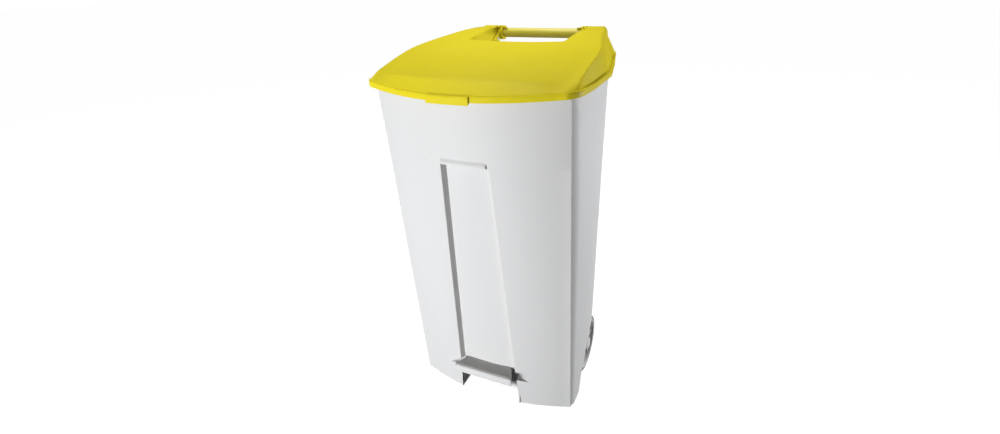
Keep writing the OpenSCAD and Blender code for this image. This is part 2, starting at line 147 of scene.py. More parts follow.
# covers over the handle tube's ends, and the slotted plates under the lid
HOOD_R = lid_high[2] - TUBE_Z
HOOD_T = 2.5
HOOD_END = 166
HOOD_DOME = 12
LUG_X = (141, 146)
LUG_LEAN = 37.5
LUG_SLOT_AT = (29, 38.5)
LUG_SLOT_R = 5.1
LUG_R = 12

# lifting rods
ROD_X = 133
ROD_BEND_R = 9
ROD_PIN_BEND = 7

# pedal
TREAD_BACK_HALF = 64
PAD_BACK_HALF = 63
PEDAL_CORNER_R = 5


# ---- Small maths ----


def mix(a, b, t):
    return a + (b - a) * t


def ease(t):
    t = np.clip(t, 0, 1)
    return t * t * (3 - 2 * t)


def bezier(a, b, c, t):
    """Curve that leaves a towards b and reaches c from b, at the values t."""
    a, b, c = (np.asarray(p, float) for p in (a, b, c))
    t = np.asarray(t, float)[:, None]
    return a * (1 - t) ** 2 + b * 2 * t * (1 - t) + c * t * t


def soft_ramp(x, low, high, r):
    """0 before low and 1 after high, straight between them, with both corners rounded over r."""

    def knee(u):
        return np.where(u < -r, 0, np.where(u > r, u, (u + r) ** 2 / (4 * r)))

    return (knee(x - low) - knee(x - high)) / (high - low)


def crowded(n):
    """n + 1 values from 0 to 1, closer together at both ends."""
    return (1 - np.cos(np.pi * np.arange(n + 1) / n)) / 2


def smoothed(grid, times, axis):
    """The grid with its corners along one axis rounded off; its ends stay."""
    g = np.moveaxis(grid.copy(), axis, 0)
    for _ in range(times):
        g[1:-1] = g[:-2] / 4 + g[1:-1] / 2 + g[2:] / 4
    return np.moveaxis(g, 0, axis)


def up_to_one(n):
    """n even steps from 0 to 1, without the 0."""
    return np.linspace(0, 1, n + 1)[1:]


def points_at(x, y):
    """(x, y) points; either may be one number for them all."""
    return np.stack(np.broadcast_arrays(x, y), 1)


def mirrored(half):
    """Whole outline grid from its right half, whose first and last columns lie on the middle plane."""
    left = half[:, -2:0:-1] * [-1, 1, 1]
    return np.concatenate([half, left], axis=1)


# ---- Mesh helpers ----


def mesh_object(name, points, faces):
    """A smooth-shaded object from points in millimetres."""
    mesh = bpy.data.meshes.new(name)
    mesh.from_pydata((np.asarray(points, float) * MM).tolist(), [], faces)
    mesh.update()
    mesh.shade_smooth()
    obj = bpy.data.objects.new(name, mesh)
    bpy.context.scene.collection.objects.link(obj)
    return obj


def settle(obj, sharp=32):
    """Applies the modifiers and marks the edges that stay sharp."""
    depsgraph = bpy.context.evaluated_depsgraph_get()
    mesh = bpy.data.meshes.new_from_object(obj.evaluated_get(depsgraph))
    obj.modifiers.clear()
    obj.data = mesh
    mesh.shade_smooth()
    mesh.set_sharp_from_angle(angle=math.radians(sharp))
    return obj


def solidify(obj, thickness, even=True):
    mod = obj.modifiers.new("wall", "SOLIDIFY")
    mod.thickness = thickness * MM
    mod.offset = -1
    mod.use_even_offset = even
    return obj


def bevel(obj, width, segments=2, angle=50):
    mod = obj.modifiers.new("round", "BEVEL")
    mod.width = width * MM
    mod.segments = segments
    mod.limit_method = "ANGLE"
    mod.angle_limit = math.radians(angle)
    mod.harden_normals = False
    return obj


def sheet(name, grid, closed=False, hidden=None, flip=False):
    """A grid of points as a sheet of quads, but those where hidden(row, column) is true.

    closed joins the last column to the first.
    """
    rows, columns = grid.shape[:2]
    faces = []
    for r in range(rows - 1):
        for c in range(columns if closed else columns - 1):
            if hidden is not None and hidden(r, c):
                continue
            d = (c + 1) % columns
            quad = [r * columns + c, r * columns + d, (r + 1) * columns + d, (r + 1) * columns + c]
            faces.append(quad[::-1] if flip else quad)
    obj = mesh_object(name, grid.reshape(-1, 3), faces)
    bm = bmesh.new()
    bm.from_mesh(obj.data)
    bmesh.ops.delete(bm, geom=[v for v in bm.verts if not v.link_faces], context="VERTS")
    bmesh.ops.remove_doubles(bm, verts=bm.verts, dist=0.02 * MM)
    bm.to_mesh(obj.data)
    bm.free()
    obj.data.shade_smooth()
    return obj


def lathe(name, profile, y, z, steps=72):
    """A closed profile of (x, radius) points turned about a line along X through y, z."""
    profile = np.asarray(profile, float)
    turn = np.linspace(0, 2 * np.pi, steps, endpoint=False)
    grid = np.array([
        [(x, y + r * math.sin(a), z + r * math.cos(a)) for x, r in profile] for a in turn
    ])
    rows, columns = grid.shape[:2]
    faces = [
        [a * columns + c, a * columns + (c + 1) % columns,
         (a + 1) % rows * columns + (c + 1) % columns, (a + 1) % rows * columns + c]
        for a in range(rows) for c in range(columns)
    ]
    return outward(mesh_object(name, grid.reshape(-1, 3), faces))


def outward(obj):
    """Turns the faces of a closed mesh outwards."""
    bm = bmesh.new()
    bm.from_mesh(obj.data)
    bmesh.ops.remove_doubles(bm, verts=bm.verts, dist=0.005 * MM)
    bmesh.ops.recalc_face_normals(bm, faces=bm.faces)
    bm.to_mesh(obj.data)
    bm.free()
    obj.data.shade_smooth()
    return obj


def prism(name, outline, x0, x1):
    """An outline of (y, z) points between two values of x."""
    n = len(outline)
    points = [(x, a, b) for x in (x0, x1) for a, b in outline]
    faces = [list(range(n)), list(range(2 * n - 1, n - 1, -1))]
    faces += [[i, n + i, n + (i + 1) % n, (i + 1) % n] for i in range(n)]
    return outward(mesh_object(name, points, faces))


def rod(name, path, radius, steps=16):
    """A round bar of the given radius along a path of points."""
    curve = bpy.data.curves.new(name, "CURVE")
    curve.dimensions = "3D"
    curve.bevel_depth = radius * MM
    curve.bevel_resolution = steps // 4
    curve.use_fill_caps = True
    spline = curve.splines.new("POLY")
    spline.points.add(len(path) - 1)
    for point, at in zip(spline.points, path):
        point.co = (*(np.asarray(at, float) * MM), 1)
    obj = bpy.data.objects.new(name, curve)
    bpy.context.scene.collection.objects.link(obj)
    depsgraph = bpy.context.evaluated_depsgraph_get()
    mesh = bpy.data.meshes.new_from_object(obj.evaluated_get(depsgraph))
    bpy.data.objects.remove(obj)
    solid = bpy.data.objects.new(name, mesh)
    bpy.context.scene.collection.objects.link(solid)
    mesh.shade_smooth()
    mesh.set_sharp_from_angle(angle=math.radians(40))
    return solid


def joined(name, parts):
    """One object from several."""
    bm = bmesh.new()
    for part in parts:
        bm.from_mesh(part.data)
        bpy.data.objects.remove(part)
    mesh = bpy.data.meshes.new(name)
    bm.to_mesh(mesh)
    bm.free()
    obj = bpy.data.objects.new(name, mesh)
    bpy.context.scene.collection.objects.link(obj)
    return obj


# ---- Body ----


FLOOR_STEPS = 7


def front_points(z, w, facet_x):
    """The front from the middle to the corner facet: channel floor, channel wall, then the plain front."""
    t = z / RIM_Z
    front_y = mix(FRONT_FOOT_Y, FRONT_TOP_Y, t)
    bow = mix(FOOT_BOW, FRONT_BOW, t)
    edge = mix(CHANNEL_FOOT, CHANNEL_TOP, z / CHANNEL_Z)
    end = w - facet_x

    # columns crowd at the foot and at the top of the channel's wall
    wall = edge + np.concatenate([
        np.array([-3, -0.8, -0.4, 0, 0.4]) - CHANNEL_RUN,
        np.linspace(1 - CHANNEL_RUN, -1, 3),
        [-0.4, 0, 0.4, 0.8, 3],
    ])
    x = np.concatenate([
        np.linspace(0, wall[0], FLOOR_STEPS + 1)[:-1],
        wall,
        np.linspace(wall[-1], end - 3, 15)[1:],
        [end - 1.2, end],
    ])
    channel = 1 - soft_ramp(x, edge - CHANNEL_RUN, edge, 0.6)
    below = 1 - soft_ramp(np.array(z), CHANNEL_Z - 0.4, CHANNEL_Z + 0.6, 0.3)
    lip = LIP * ease((CHANNEL_Z + 14 - z) / 9) * (z > CHANNEL_Z + 0.5)
    lip_x = soft_ramp(edge - 2 - x, 0, 1.5, 0.5)
    seam = SEAM_STEP * below * ease((end - x) / 12)
    bowed = front_y - bow * (1 - (x / w) ** 2)
    return points_at(x, bowed + CHANNEL_DEPTH * channel * below + seam * (1 - channel) - lip * lip_x)


def back_points(z, bw, yb):
    """The back from its corner to the middle: the hand recess opens in it above RECESS_Z."""
    low, high = RECESS_Z
    deep = np.clip((z - low) / (high - low), 0, 1)
    opened = ease(deep * 6)
    inner_y = mix(yb, RECESS_Y, deep)
    v = crowded(16)
    return np.concatenate([
        points_at(np.linspace(bw - BACK_R, RECESS_HALF + 9, 4)[1:], yb),
        [[RECESS_HALF + 8.5, yb], [RECESS_HALF + mix(8.2, 3, opened), yb]],
        points_at(RECESS_HALF + 8 * (1 - opened) * (1 - v), mix(yb, inner_y, v)),
        [[RECESS_HALF - 3, inner_y]],
        points_at(np.linspace(RECESS_HALF, 0, 12)[1:], inner_y),
    ])


def body_ring(z):
    """Right half of the body's outline at height z, as (x, y) points from the front to the back."""
    t = z / RIM_Z
    w = mix(FOOT_HALF, TOP_HALF, t)
    yb = mix(BACK_FOOT_Y, BACK_TOP_Y, t)
    bw = BACK_HALF - (1 - t) * (TOP_HALF - FOOT_HALF)
    facet_y = mix(*FACET_Y, t)

    front = front_points(z, w, mix(*FACET_X, t))
    corner_y = front[-1][1]
    corner = bezier(front[-1], (w, corner_y + facet_y), (w, corner_y + 2.3 * facet_y), up_to_one(11))
    side = points_at(w, np.linspace(corner[-1][1], SIDE_END_Y, 14)[1:])
    lean = (w - bw) / (yb - SIDE_END_Y)
    turn = np.array([bw + lean * BACK_R, yb - BACK_R])
    closing = mix(np.array([w, SIDE_END_Y]), turn, up_to_one(11)[:, None])
    back_corner = bezier(turn, (bw, yb), (bw - BACK_R, yb), up_to_one(11))
    ring = np.concatenate([front, corner, side, closing, back_corner, back_points(z, bw, yb)])

    # behind the front corner the outline's corners are rounded off
    soft_from = len(front) + 20
    ring[soft_from:-1] = smoothed(ring, 2, 0)[soft_from:-1]
    return ring, len(front)


def front_y_at(x, z):
    """Where the front of the body lies at x and at height z."""
    ring, front_n = body_ring(z)
    return np.interp(x, ring[:front_n, 0], ring[:front_n, 1])


def skirt_foot(y):
    """Lowest height of the side wall at y: the skirt's slanted edge over the wheel."""
    return np.interp(y, [-400, -54, -50, -40, 48, 400], [0, 0, 10, 55, TUB_Z, TUB_Z])


def wall_feet():
    """Lowest height of each column of the wall's right half."""
    ring, front_n = body_ring(TUB_Z)
    column = np.arange(len(ring))

    def feet(y):
        return np.where(column < front_n, 0, skirt_foot(y))

    # the skirt's edge depends on y, and y on the height: a few rounds settle it
    foot = feet(ring[:, 1])
    for _ in range(7):
        foot = feet(np.array([body_ring(z)[0][i][1] for i, z in enumerate(foot)]))
    return np.maximum(foot, CORNER_LIFT * np.exp(-((column - front_n - 3) / 3) ** 2))


def low_rows(shares):
    """Rows of the wall from its foot to LOW_TOP, at the given shares of the height."""
    foot = wall_feet()
    tucked = foot > TUB_Z - 0.5
    samples = np.linspace(0, LOW_TOP, 24)
    stack = np.array([body_ring(z)[0] for z in samples])
    rows = []
    for v in shares:
        z = mix(foot, LOW_TOP, v)
        xy = np.stack([[np.interp(z[i], samples, stack[:, i, k]) for i in range(len(z))] for k in (0, 1)], 1)
        # the rear part has no skirt: it rolls under into the floor
        angle = (1 - v) * np.pi / 2
        inset = np.where(tucked, ROLL_R * (1 - math.cos(angle)), 0)[:, None]
        away = (xy - TUB_MIDDLE) / np.linalg.norm(xy - TUB_MIDDLE, axis=1)[:, None]
        z = np.where(tucked, TUB_Z + ROLL_R * (1 - math.sin(angle)), z)
        rows.append(np.column_stack([xy - away * inset, z]))
    return rows


def high_levels():
    """Heights of the wall's rows above LOW_TOP: they crowd at the seam and where the recess opens."""
    low, high = RECESS_Z
    return np.concatenate([
        np.linspace(LOW_TOP, CHANNEL_Z - 12, 30)[1:],
        CHANNEL_Z + np.array([-7, -3.5, -1.5, -0.6, 0, 0.6, 1.2, 2.4, 4.5, 7.5, 10]),
        np.linspace(low, low + 22, 9)[1:],
        np.linspace(low + 22, high, 10)[1:],
        [high + 3, high + 9],
        np.linspace(high + 9, RIM_Z, 7)[1:],
    ])


def body_sheet():
    """Wall of the tub, its legs and its skirts, with the gap between the legs left open."""
    gap_share = LEG_GAP_Z / LOW_TOP
    in_gap_shares = np.concatenate([np.linspace(0, 0.06, 3), np.linspace(0.06, gap_share, 16)[1:]])
    rows = low_rows(np.concatenate([in_gap_shares, np.linspace(gap_share, 1, 9)[1:]]))
    for z in high_levels():
        ring = body_ring(z)[0]
        rows.append(np.column_stack([ring, np.full(len(ring), z)]))
    whole = mirrored(np.array(rows))
    columns = whole.shape[1]

    # the gap is as wide as the channel, up to the column just outside the top of its wall
    gap_row = len(in_gap_shares) - 1
    gap_column = FLOOR_STEPS + 11

    def in_gap(r, c):
        middle = c < gap_column or c >= columns - gap_column
        return middle and r < gap_row

    return sheet("body_shell_wall", whole, closed=True, hidden=in_gap)


def body_floor():
    """Floor of the tub, inside the wall."""
    half = body_ring(TUB_Z)[0]
    ring = mirrored(np.column_stack([half, np.full(len(half), TUB_Z + WALL)])[None])[0]
    centre = np.array([*TUB_MIDDLE, TUB_Z + WALL])
    grid = np.array([mix(centre, ring, share) for share in (0.992, 0.975, 0.7, 0.4, 0.1)])
    return sheet("floor", grid, closed=True)


def leg_liner(side):
    """Inner and back wall of a leg: a sheet bent round its inner corner."""
    x_end = mix(FOOT_HALF, TOP_HALF, 0.1) - 3
    x, y, bend = CHANNEL_FOOT, LEG_BACK_Y, 8
    path = np.concatenate([
        [[x, front_y_at(x + 2, 60) + 2], [x, y - 30]],
        bezier((x, y - bend), (x, y), (x + bend, y), np.linspace(0, 1, 6)),
        [[x + 50, y], [x_end, y]],
    ])
    levels = [1, 40, LEG_GAP_Z, TUB_Z + 1]
    grid = np.array([[(x * side, y, z) for x, y in path] for z in levels])
    return sheet("liner", grid, flip=side > 0)


def toe_front_y(x):
    """Where the front of the body lies at x, at the height of the toe pockets."""
    return front_y_at(x, sum(TOE_Z) / 2)


def toe_cutter(side):
    """Wedge that opens the toe pocket in the front and the inner wall of a leg."""
    low, high = TOE_Z
    inner = CHANNEL_FOOT - 12
    outline = [[inner, low], [TOE_TIP_X, low], [CHANNEL_FOOT, high], [inner, high]]
    deep = toe_front_y(CHANNEL_FOOT) + TOE_DEPTH
    points = [(x * side, y, z) for y in (FRONT_TOP_Y - 200, deep) for x, z in outline]
    faces = [[0, 1, 2, 3], [7, 6, 5, 4]] + [[i, 4 + i, 4 + (i + 1) % 4, (i + 1) % 4] for i in range(4)]
    return outward(mesh_object("cutter", points, faces))


def toe_tray(side):
    """Lining of the toe pocket: flush at its tip and deepest beside the pedal."""
    low, high = TOE_Z[0] - 1.5, TOE_Z[1] + 2
    x = CHANNEL_FOOT - 1
    skin = toe_front_y(CHANNEL_FOOT) + 1.5
    deep = skin + TOE_DEPTH
    tip = (TOE_TIP_X + 3, toe_front_y(TOE_TIP_X) + 1, low)
    corners = [tip, (x, skin, high), (x, skin, low), (x - TOE_LAP, deep, high), (x - TOE_LAP, deep, low)]
    faces = [[0, 3, 4], [0, 1, 3], [0, 4, 2]]
    return mesh_object("tray", [(a * side, b, c) for a, b, c in corners], faces)


def cut(obj, cutters):
    for cutter in cutters:
        mod = obj.modifiers.new("toe", "BOOLEAN")
        mod.object = cutter
        mod.operation = "DIFFERENCE"
        mod.solver = "EXACT"
    return obj


def build_body():
    cutters = [toe_cutter(side) for side in (-1, 1)]
    parts = [settle(cut(solidify(body_sheet(), WALL), cutters)), settle(solidify(body_floor(), WALL))]
    for side in (-1, 1):
        parts.append(settle(cut(bevel(solidify(leg_liner(side), WALL), 0.8), cutters)))
        parts.append(settle(solidify(toe_tray(side), 1.5)))
    for cutter in cutters:
        bpy.data.objects.remove(cutter)
    body = joined("bin_body", parts)
    body.data.shade_smooth()
    body.data.set_sharp_from_angle(angle=math.radians(32))
    return body


# ---- Lid ----


def lid_edge_z(y):
    """Height of the ridge along the lid's sides."""
    return 896 - 47 * np.clip((150 - y) / 330, 0, 1) ** 2


def lid_mid_z(y):
    """Height of the lid on its middle line."""
    return 889.5 - 32.5 * np.clip((-21 - y) / 208, 0, 1) ** 1.9


def lid_foot_z(x, y):
    """Height of the flange's lower edge: it rises a little towards the front corners."""
    at_side = np.minimum(1, np.abs(x) / LID_HALF) ** 2
    return LID_FOOT_Z + 6 * at_side * (1 - 0.8 * ease((y + 200) / 120))


def lid_top_z(x, y):
    """Height of the lid's top: it rises towards the ears at both ends of the handle."""
    across = np.minimum(1, np.abs(x) / mix(205, 150, ease(y / 80))) ** 1.5
    rise = EAR_RISE * ease((y - 20) / 190) * ease((np.abs(x) - 40) / 80)
    return mix(lid_mid_z(y), lid_edge_z(y), across) + rise


def lid_outline():
    """Right half of the lid's outer outline and, for each of its points, the point of the notch it faces."""
    w, yb, bw, br = LID_HALF, LID_BACK_Y, LID_BACK_HALF, LID_BACK_R
    end = w - LID_FRONT_R
    x = np.concatenate([
        np.linspace(0, TAB_HALF - 4, 7),
        TAB_HALF + np.array([-2, -0.5, 0, 0.5, 2]),
        np.linspace(TAB_HALF + 6, end, 20),
    ])
    front = points_at(x, LID_FRONT_Y - LID_BOW * (1 - (x / w) ** 2))
    corner = bezier(front[-1], (w, LID_FRONT_Y + 2), (w, LID_FRONT_Y + LID_FRONT_R + 6), up_to_one(11))
    side = points_at(w, np.linspace(corner[-1][1], SIDE_END_Y, 14)[1:])
    lean = (w - bw) / (yb - SIDE_END_Y)
    turn = np.array([bw + lean * br, yb - br])
    closing = bezier(side[-1], mix(side[-1], turn, 0.35), turn, up_to_one(15))
    back_corner = bezier(turn, (bw, yb), (bw - br, yb), up_to_one(11))
    back = points_at(np.linspace(bw - br, NOTCH_BACK_HALF + 3, 7)[1:], yb)
    outer = np.concatenate([front, corner, side, closing, back_corner, back])

    side_x = NOTCH_HALF + 0.6
    side_y = RECESS_Y + NOTCH_R
    inner_front = points_at(x / end * (NOTCH_HALF - NOTCH_R), RECESS_Y)
    inner_corner = bezier((NOTCH_HALF - NOTCH_R, RECESS_Y), (NOTCH_HALF, RECESS_Y), (side_x, side_y),
                          up_to_one(len(corner) + len(side)))
    v = up_to_one(len(closing) + len(back_corner) + len(back))
    inner_side = points_at(mix(side_x, NOTCH_BACK_HALF, np.minimum(1, v * 1.15)), mix(side_y, yb - 1, v))
    return outer, np.concatenate([inner_front, inner_corner, inner_side]), len(x)


def flange_rows(level, foot, flange_z, flange_in, tab_out):
    """The flange, from its lower edge up and in to where the flank starts."""
    return [
        level(0, foot, tab_out),
        level(0, mix(foot, flange_z, 0.5), tab_out),
        level(0, flange_z - 2, tab_out),
        level(0.35, flange_z - 0.9, tab_out),
        level(1.1, flange_z - 0.2, tab_out),
        level(flange_in * 0.6, flange_z),
        level(flange_in, flange_z + 0.2),
    ]


def flank_rows(start, end, cove):
    """The flank from the flange up to the ridge, hollowed where cove is above 0."""
    straight = (start + end) / 2
    bent = start + (end - start) * [0.72, 0.72, 0.16]
    knee = mix(straight, bent, cove[:, None])
    shares = (0, 0.1, 0.22, 0.34, 0.46, 0.58, 0.7, 0.8, 0.88, 0.94, 1)
    return [start * (1 - t) ** 2 + knee * 2 * t * (1 - t) + end * t * t for t in shares]


def top_rows(ridge, inner):
    """The top from the ridge to the edge of the notch, and the notch's wall down from there."""
    shares = (0.012, 0.03, 0.055, 0.09, 0.14, 0.2, 0.28, 0.36,
              0.45, 0.54, 0.63, 0.72, 0.8, 0.87, 0.93, 0.965)
    rows = []
    for t in shares:
        plan = mix(ridge, inner, t)
        rows.append(np.column_stack([plan, lid_top_z(*plan.T)]))
    edge_dir = (inner - ridge) / np.linalg.norm(inner - ridge, axis=1)[:, None]
    for back_off, drop in ((3, 0.15), (1.6, 0.8), (0.5, 1.9), (0, NOTCH_EDGE_DROP)):
        plan = inner - edge_dir * back_off
        rows.append(np.column_stack([plan, lid_top_z(*plan.T) - drop]))
    wall_top = lid_top_z(*inner.T) - NOTCH_EDGE_DROP
    for t in (0.15, 0.4, 0.7, 1):
        rows.append(np.column_stack([inner, mix(wall_top, NOTCH_FOOT_Z, t)]))
    return rows


def build_lid_sheet():
    """Flange, flank and top of the lid and the wall of its notch, as one sheet."""
    outer, inner, front_n = lid_outline()
    n = len(outer)
    x, y = outer.T
    in_front = np.arange(n) < front_n
    in_tab = in_front & (x < TAB_HALF)
    back = ease((y - 180) / 36)
    open_back = (y > TUBE_Y - 4) * ease((172 - x) / 8)
    flange_foot = lid_foot_z(x, y) + 20 * back + 52 * open_back
    foot = flange_foot - np.where(in_tab, TAB_DROP, 0)
    flange_z = flange_foot + mix(12, 5, np.maximum(back, open_back))
    flange_in = mix(mix(4, 6, ease((y + 190) / 60)), 2, back)

    # the tab is the front-most part: the rest of the front stands back
    outer = outer + points_at(0, np.where(in_front, TAB_STEP * ease((232 - x) / 40), 0))
    tab_out = points_at(0, np.where(in_tab, -TAB_STEP, 0))

    tangent = np.gradient(outer, axis=0)
    tangent /= np.linalg.norm(tangent, axis=1)[:, None]
    inward = points_at(-tangent[:, 1], tangent[:, 0])
    inward[0] = [0, 1]
    inward = smoothed(inward, 2, 0)

    ridge_in = mix(4, 11, ease((y + 195) / 25)) + 19 * ease((y + 60) / 180)
    front_in = 41 * ease((-150 - y) / 60)
    ridge = points_at(x - np.minimum(x, ridge_in), y + front_in - 6 * ease((y - 225) / 20))
    ridge = smoothed(ridge, 3, 0)

    def level(inset, z, shift=0):
        plan = outer + shift + inward * np.broadcast_to(inset, n)[:, None]
        return np.column_stack([plan, z])

    flange = flange_rows(level, foot, flange_z, flange_in, tab_out)
    cove = 0.3 * ease((y + 165) / 120) * (1 - ease((y - 190) / 40))
    ridge_points = np.column_stack([ridge, lid_top_z(*ridge.T)])
    flank = flank_rows(level(flange_in + 1.2, flange_z + 1.4), ridge_points, cove)
    half = np.array(flange + flank + top_rows(ridge, inner))

    # the ridge is crisp along the front half of the side and soft elsewhere
    ridge_row = len(flange) + len(flank) - 1
    crisp = ease((y + 190) / 40) * (1 - ease((y + 30) / 90))
    zone = slice(ridge_row - 4, ridge_row + 5)
    half[zone] = mix(smoothed(half, 5, 0), smoothed(half, 1, 0), crisp[:, None])[zone]
    left = half[:, :0:-1] * [-1, 1, 1]
    return sheet("lid_top", np.concatenate([left, half], axis=1))


def hood(side):
    """Half round cover over one end of the handle tube, domed at its outer end."""
    angles = np.radians(np.linspace(-8, 160, 28))
    dome = np.radians(np.linspace(0, 84, 12))
    dome_x = HOOD_END + HOOD_DOME * (np.sin(dome) - 0.5)
    xs = np.concatenate([[NOTCH_BACK_HALF, NOTCH_BACK_HALF + 20], dome_x])
    radii = HOOD_R * np.concatenate([[1, 1], np.cos(dome)])
    grid = np.array([
        [(x * side, TUBE_Y + r * math.cos(a), TUBE_Z + r * math.sin(a)) for a in angles]
        for x, r in zip(xs, radii)
    ])
    return settle(solidify(sheet("hood", grid, flip=side < 0), HOOD_T, even=False))


def hull(points):
    """Convex outline of points in a plane, anticlockwise."""
    points = sorted(set(map(tuple, points)))

    def chain(items):
        out = []
        for p in items:
            while len(out) > 1 and (out[-1][0] - out[-2][0]) * (p[1] - out[-2][1]) \
                    <= (out[-1][1] - out[-2][1]) * (p[0] - out[-2][0]):
                out.pop()
            out.append(p)
        return out[:-1]

    return np.array(chain(points) + chain(points[::-1]))


def circle(centre, r, n=40):
    a = np.linspace(0, 2 * np.pi, n, endpoint=False)
    return np.stack([centre[0] + r * np.cos(a), centre[1] + r * np.sin(a)], 1)


def along_rays(outline, centre, n=64):
    """n points of a convex outline, one on each ray from the centre."""
    closed = np.concatenate([outline, outline[:1]])
    angle = np.unwrap(np.arctan2(closed[:, 1] - centre[1], closed[:, 0] - centre[0]))
    want = angle[0] + (np.linspace(0, 2 * np.pi, n, endpoint=False) - angle[0]) % (2 * np.pi)
    return np.stack([np.interp(want, angle, closed[:, k]) for k in (0, 1)], 1)


def slotted_plate(name, outer, inner, x0, x1):
    """Flat plate between x0 and x1 with one hole, from two rings of the same number of points."""
    n = len(outer)
    loops = [(outer, x0), (outer, x1), (inner, x1), (inner, x0)]
    points = [(x, a, b) for ring, x in loops for a, b in ring]
    faces = []
    for k in range(4):
        a, b = k * n, (k + 1) % 4 * n
        faces += [[a + i, b + i, b + (i + 1) % n, a + (i + 1) % n] for i in range(n)]
    return outward(mesh_object(name, points, faces))


def lug(side):
    """Plate under an ear whose slot holds the top of the lifting rod."""
    lean = math.radians(LUG_LEAN)
    out = np.array([-math.cos(lean), -math.sin(lean)])
    near, far = (np.array([TUBE_Y, TUBE_Z]) + out * reach for reach in LUG_SLOT_AT)
    root = circle((TUBE_Y - 30, TUBE_Z + 4), LUG_R - 2)
    outer = hull(np.concatenate([circle(near, LUG_R), circle(far, LUG_R), root]))
    inner = hull(np.concatenate([circle(near, LUG_SLOT_R), circle(far, LUG_SLOT_R)]))
    centre = (near + far) / 2
    x0, x1 = (side * x for x in LUG_X)
    plate = slotted_plate("lug", along_rays(outer, centre), along_rays(inner, centre), x0, x1)
    return settle(bevel(plate, 0.7, angle=40))


def build_lid():
    top = settle(bevel(solidify(build_lid_sheet(), LID_T, even=False), 0.8, angle=60))
    parts = [top]
    for side in (-1, 1):
        parts += [hood(side), lug(side)]
    lid = joined("bin_lid", parts)
    lid.data.shade_smooth()
    lid.data.set_sharp_from_angle(angle=math.radians(34))
    return lid


# ---- Lifting rods ----


def build_lift():
    """One bent rod: a cross bar at the foot and two uprights, with a short pin turned out at each top."""
    radius = (lift_high[1] - lift_low[1]) / 2
    y = (lift_low[1] + lift_high[1]) / 2
    foot = lift_low[2] + radius
    top = lift_high[2] - radius
    x, r, pin = ROD_X, ROD_BEND_R, lift_high[0]
    half = [
        (0, foot),
        *bezier((x - r, foot), (x, foot), (x, foot + r), np.linspace(0, 1, 7)),
        *bezier((x, top - ROD_PIN_BEND), (x, top), (x + 5, top), np.linspace(0, 1, 7)),
        (pin, top),
    ]
    path = [(-px, y, pz) for px, pz in half[::-1]] + [(px, y, pz) for px, pz in half[1:]]
    return rod("lift_rod", path, radius)


# ---- Pedal ----


def tread_outline(y0, y1, back_half, front_half):
    """Trapezium with rounded corners, as (x, y) points: y0 is the front."""
    corners = np.array([(back_half, y1), (-back_half, y1), (-front_half, y0), (front_half, y0)], float)
    points = []
    for i, c in enumerate(corners):
        before, after = corners[i - 1], corners[(i + 1) % 4]
        a = c + (before - c) / np.linalg.norm(before - c) * PEDAL_CORNER_R
        b = c + (after - c) / np.linalg.norm(after - c) * PEDAL_CORNER_R
        points += bezier(a, c, b, np.linspace(0, 1, 5)).tolist()
    return np.array(points)


def capped_rings(name, low, high, back_half, levels):
    """Side and top of a tread-shaped block, one ring for each (inset, height) level."""
    rings = []
    for inset, z in levels:
        ring = tread_outline(low[1] + inset, high[1] - inset, back_half - inset, high[0] - inset)
        rings.append(np.column_stack([ring, np.full(len(ring), z)]))
    side = sheet(name + "_side", np.array(rings), closed=True)
    top = mesh_object(name + "_top", rings[-1], [list(range(len(rings[-1])))])
    return [side, top]


def build_tread():
    """Hollow tread with ribs under it."""
    y0, y1, z0, z1 = tread_low[1], tread_high[1], tread_low[2], tread_high[2]
    levels = [
        (2.6, z0), (2.4, z0), (0.6, z0 + 1), (0, z0 + 3), (0, z1 - 3),
        (0.4, z1 - 1.2), (1.4, z1 - 0.2), (3, z1), (12, z1),
    ]
    skin = capped_rings("tread", tread_low, tread_high, TREAD_BACK_HALF, levels)
    parts = [settle(solidify(joined("tread_all", skin), 2.6))]
    outline = [(y0 + 4, z0 + 2), (y1 - 4, z0 + 2), (y1 - 4, z1 - 1.5), (y0 + 4, z1 - 1.5)]
    for x in (-36, -18, 0, 18, 36):
        parts.append(settle(bevel(prism("rib", outline, x - 1, x + 1), 0.3)))
    return joined("tread", parts)


def build_pad():
    """Rubber pad with ribs along the tread."""
    y0, y1, z0, z1 = pad_low[1], pad_high[1], pad_low[2], pad_high[2]
    levels = [(0, z0), (0, z1 - 1.3), (0.5, z1 - 0.9), (1.6, z1 - 0.8)]
    parts = capped_rings("pad", pad_low, pad_high, PAD_BACK_HALF, levels)
    rib_count = 9
    margin = 3
    pitch = (y1 - y0 - 2 * margin) / rib_count
    foot, top = pitch * 0.36, pitch * 0.2
    for i in range(rib_count):
        y = y0 + margin + pitch * (i + 0.5)
        w = mix(pad_high[0], PAD_BACK_HALF, (y - y0) / (y1 - y0)) - 5
        outline = [(y - foot, z1 - 1.2), (y + foot, z1 - 1.2), (y + top, z1), (y - top, z1)]
        parts.append(settle(bevel(prism("rib", outline, -w, w), 0.25, angle=30)))
    return joined("pad", parts)


# ---- Wheels ----


RIM_R = WHEEL_R - 10
WHEEL_X = (tyre_low[0], (tyre_low[0] + tyre_high[0]) / 2, tyre_high[0])


def on_side(side, profile):
    return [(side * x, r) for x, r in profile]


